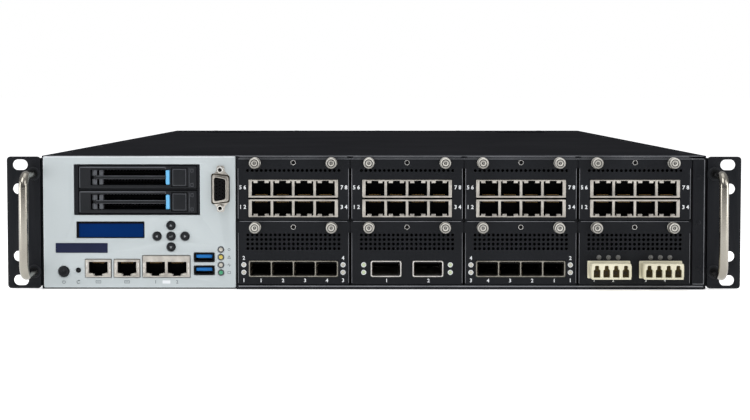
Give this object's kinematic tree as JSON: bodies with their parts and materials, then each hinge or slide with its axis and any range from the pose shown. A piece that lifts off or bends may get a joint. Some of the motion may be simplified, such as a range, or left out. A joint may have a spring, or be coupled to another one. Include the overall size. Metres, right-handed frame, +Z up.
{
  "type": "firewall appliance",
  "caption": "Two-unit rack network appliance with a silver control panel, hot-swap drives, port modules, rack ears, handles, fans and power supplies.",
  "frame": {"origin": "middle of the footprint, on the surface that the chassis stands on; the footprint takes in the front handles and the supplies' handles behind", "axes": "+Z up, -Y out of the front, +X to the right as seen from the front"},
  "size_m": [0.4826, 0.7096, 0.088],
  "materials": {
    "black_paint": "fine satin powder coat",
    "silver_paint": "fine silver-grey paint",
    "nickel": "bright nickel plate",
    "zinc_steel": "zinc-plated sheet",
    "black_plastic": "fine moulded texture",
    "blue_plastic": "satin",
    "ivory_plastic": "satin",
    "display_glass": "glossy display window",
    "circuit_board": "solder mask",
    "aluminium": "extruded or cast"
  },
  "bodies": {
    "root": {"chassis_base": "black_paint", "module_cage": "black_paint", "ear_left": "black_paint", "ear_right": "black_paint", "handle_left": "nickel", "handle_right": "nickel", "control_panel": "silver_paint", "drive_cage": "black_paint", "management_port": "nickel", "console_port": "nickel", "lan_port_pair": "nickel", "usb_port_lower": "zinc_steel", "usb_port_upper": "zinc_steel", "vga_connector": "nickel", "panel_board": "circuit_board", "lcd_module": "display_glass", "mainboard": "circuit_board", "heatsink_left": "aluminium", "heatsink_right": "aluminium", "fan_tray": "black_plastic"},
    "cover": {"top_cover": "black_paint"},
    "copper_module_1": {"copper_module_1_carrier": "black_paint", "copper_module_1_ports": "nickel"},
    "copper_module_2": {"copper_module_2_carrier": "black_paint", "copper_module_2_ports": "nickel"},
    "copper_module_3": {"copper_module_3_carrier": "black_paint", "copper_module_3_ports": "nickel"},
    "copper_module_4": {"copper_module_4_carrier": "black_paint", "copper_module_4_ports": "nickel"},
    "sfp_module_1": {"sfp_module_1_carrier": "black_paint", "sfp_module_1_cage": "nickel"},
    "qsfp_module": {"qsfp_module_carrier": "black_paint", "qsfp_module_cages": "nickel"},
    "sfp_module_2": {"sfp_module_2_carrier": "black_paint", "sfp_module_2_cage": "nickel"},
    "fibre_module": {"fibre_module_carrier": "black_paint", "fibre_module_adapters": "ivory_plastic"},
    "drive_lower": {"drive_tray_lower": "black_plastic", "drive_lower": "aluminium"},
    "drive_lever_lower": {"drive_lever_lower": "blue_plastic"},
    "drive_release_lower": {"drive_release_lower": "black_plastic"},
    "drive_upper": {"drive_tray_upper": "black_plastic", "drive_upper": "aluminium"},
    "drive_lever_upper": {"drive_lever_upper": "blue_plastic"},
    "drive_release_upper": {"drive_release_upper": "black_plastic"},
    "up_button": {"up_button": "black_plastic"},
    "down_button": {"down_button": "black_plastic"},
    "left_button": {"left_button": "black_plastic"},
    "right_button": {"right_button": "black_plastic"},
    "enter_button": {"enter_button": "black_plastic"},
    "power_button": {"power_button": "black_plastic"},
    "reset_button": {"reset_button": "black_plastic"},
    "supply_lower": {"supply_lower": "zinc_steel"},
    "supply_latch_lower": {"supply_latch_lower": "blue_plastic"},
    "supply_upper": {"supply_upper": "zinc_steel"},
    "supply_latch_upper": {"supply_latch_upper": "blue_plastic"},
    "fan_1": {"fan_rotor_1": "black_plastic"},
    "fan_2": {"fan_rotor_2": "black_plastic"},
    "fan_3": {"fan_rotor_3": "black_plastic"},
    "fan_4": {"fan_rotor_4": "black_plastic"}
  },
  "joints": [
    {"name": "cover_lift", "type": "slide", "parent": "root", "child": "cover", "axis": [0, 0, 1], "range_m": [0, 0.12]},
    {"name": "copper_module_1_slide", "type": "slide", "parent": "root", "child": "copper_module_1", "axis": [0, -1, 0], "range_m": [0, 0.19]},
    {"name": "copper_module_2_slide", "type": "slide", "parent": "root", "child": "copper_module_2", "axis": [0, -1, 0], "range_m": [0, 0.19]},
    {"name": "copper_module_3_slide", "type": "slide", "parent": "root", "child": "copper_module_3", "axis": [0, -1, 0], "range_m": [0, 0.19]},
    {"name": "copper_module_4_slide", "type": "slide", "parent": "root", "child": "copper_module_4", "axis": [0, -1, 0], "range_m": [0, 0.19]},
    {"name": "sfp_module_1_slide", "type": "slide", "parent": "root", "child": "sfp_module_1", "axis": [0, -1, 0], "range_m": [0, 0.19]},
    {"name": "qsfp_module_slide", "type": "slide", "parent": "root", "child": "qsfp_module", "axis": [0, -1, 0], "range_m": [0, 0.19]},
    {"name": "sfp_module_2_slide", "type": "slide", "parent": "root", "child": "sfp_module_2", "axis": [0, -1, 0], "range_m": [0, 0.19]},
    {"name": "fibre_module_slide", "type": "slide", "parent": "root", "child": "fibre_module", "axis": [0, -1, 0], "range_m": [0, 0.19]},
    {"name": "drive_lower_slide", "type": "slide", "parent": "root", "child": "drive_lower", "axis": [0, -1, 0], "range_m": [0, 0.11]},
    {"name": "drive_lever_lower_swing", "type": "hinge", "parent": "drive_lower", "child": "drive_lever_lower", "pos_m": [-0.1829, -0.3199, 0.0576], "axis": [0, 0, -1], "range_deg": [0, 65]},
    {"name": "drive_release_lower_press", "type": "slide", "parent": "drive_lower", "child": "drive_release_lower", "axis": [0, 1, 0], "range_m": [0, 0.0012], "stiffness_N_per_m": 400},
    {"name": "drive_upper_slide", "type": "slide", "parent": "root", "child": "drive_upper", "axis": [0, -1, 0], "range_m": [0, 0.11]},
    {"name": "drive_lever_upper_swing", "type": "hinge", "parent": "drive_upper", "child": "drive_lever_upper", "pos_m": [-0.1829, -0.3199, 0.0738], "axis": [0, 0, -1], "range_deg": [0, 65]},
    {"name": "drive_release_upper_press", "type": "slide", "parent": "drive_upper", "child": "drive_release_upper", "axis": [0, 1, 0], "range_m": [0, 0.0012], "stiffness_N_per_m": 400},
    {"name": "up_button_press", "type": "slide", "parent": "root", "child": "up_button", "axis": [0, 1, 0], "range_m": [0, 0.0009], "stiffness_N_per_m": 400},
    {"name": "down_button_press", "type": "slide", "parent": "root", "child": "down_button", "axis": [0, 1, 0], "range_m": [0, 0.0009], "stiffness_N_per_m": 400},
    {"name": "left_button_press", "type": "slide", "parent": "root", "child": "left_button", "axis": [0, 1, 0], "range_m": [0, 0.0009], "stiffness_N_per_m": 400},
    {"name": "right_button_press", "type": "slide", "parent": "root", "child": "right_button", "axis": [0, 1, 0], "range_m": [0, 0.0009], "stiffness_N_per_m": 400},
    {"name": "enter_button_press", "type": "slide", "parent": "root", "child": "enter_button", "axis": [0, 1, 0], "range_m": [0, 0.0009], "stiffness_N_per_m": 400},
    {"name": "power_button_press", "type": "slide", "parent": "root", "child": "power_button", "axis": [0, 1, 0], "range_m": [0, 0.0009], "stiffness_N_per_m": 400},
    {"name": "reset_button_press", "type": "slide", "parent": "root", "child": "reset_button", "axis": [0, 1, 0], "range_m": [0, 0.0009], "stiffness_N_per_m": 400},
    {"name": "supply_lower_slide", "type": "slide", "parent": "root", "child": "supply_lower", "axis": [0, 1, 0], "range_m": [0, 0.17]},
    {"name": "supply_latch_lower_squeeze", "type": "hinge", "parent": "supply_lower", "child": "supply_latch_lower", "pos_m": [0.2078, 0.3178, 0.0206], "axis": [0, 0, 1], "range_deg": [0, 8], "stiffness_Nm_per_rad": 0.5},
    {"name": "supply_upper_slide", "type": "slide", "parent": "root", "child": "supply_upper", "axis": [0, 1, 0], "range_m": [0, 0.17]},
    {"name": "supply_latch_upper_squeeze", "type": "hinge", "parent": "supply_upper", "child": "supply_latch_upper", "pos_m": [0.2078, 0.3178, 0.062], "axis": [0, 0, 1], "range_deg": [0, 8], "stiffness_Nm_per_rad": 0.5},
    {"name": "fan_1_spin", "type": "hinge", "parent": "root", "child": "fan_1", "pos_m": [-0.1728, 0.3099, 0.0415], "axis": [0, 1, 0], "continuous": true},
    {"name": "fan_2_spin", "type": "hinge", "parent": "root", "child": "fan_2", "pos_m": [-0.0883, 0.3099, 0.0415], "axis": [0, 1, 0], "continuous": true},
    {"name": "fan_3_spin", "type": "hinge", "parent": "root", "child": "fan_3", "pos_m": [-0.0038, 0.3099, 0.0415], "axis": [0, 1, 0], "continuous": true},
    {"name": "fan_4_spin", "type": "hinge", "parent": "root", "child": "fan_4", "pos_m": [0.0807, 0.3099, 0.0415], "axis": [0, 1, 0], "continuous": true}
  ]
}
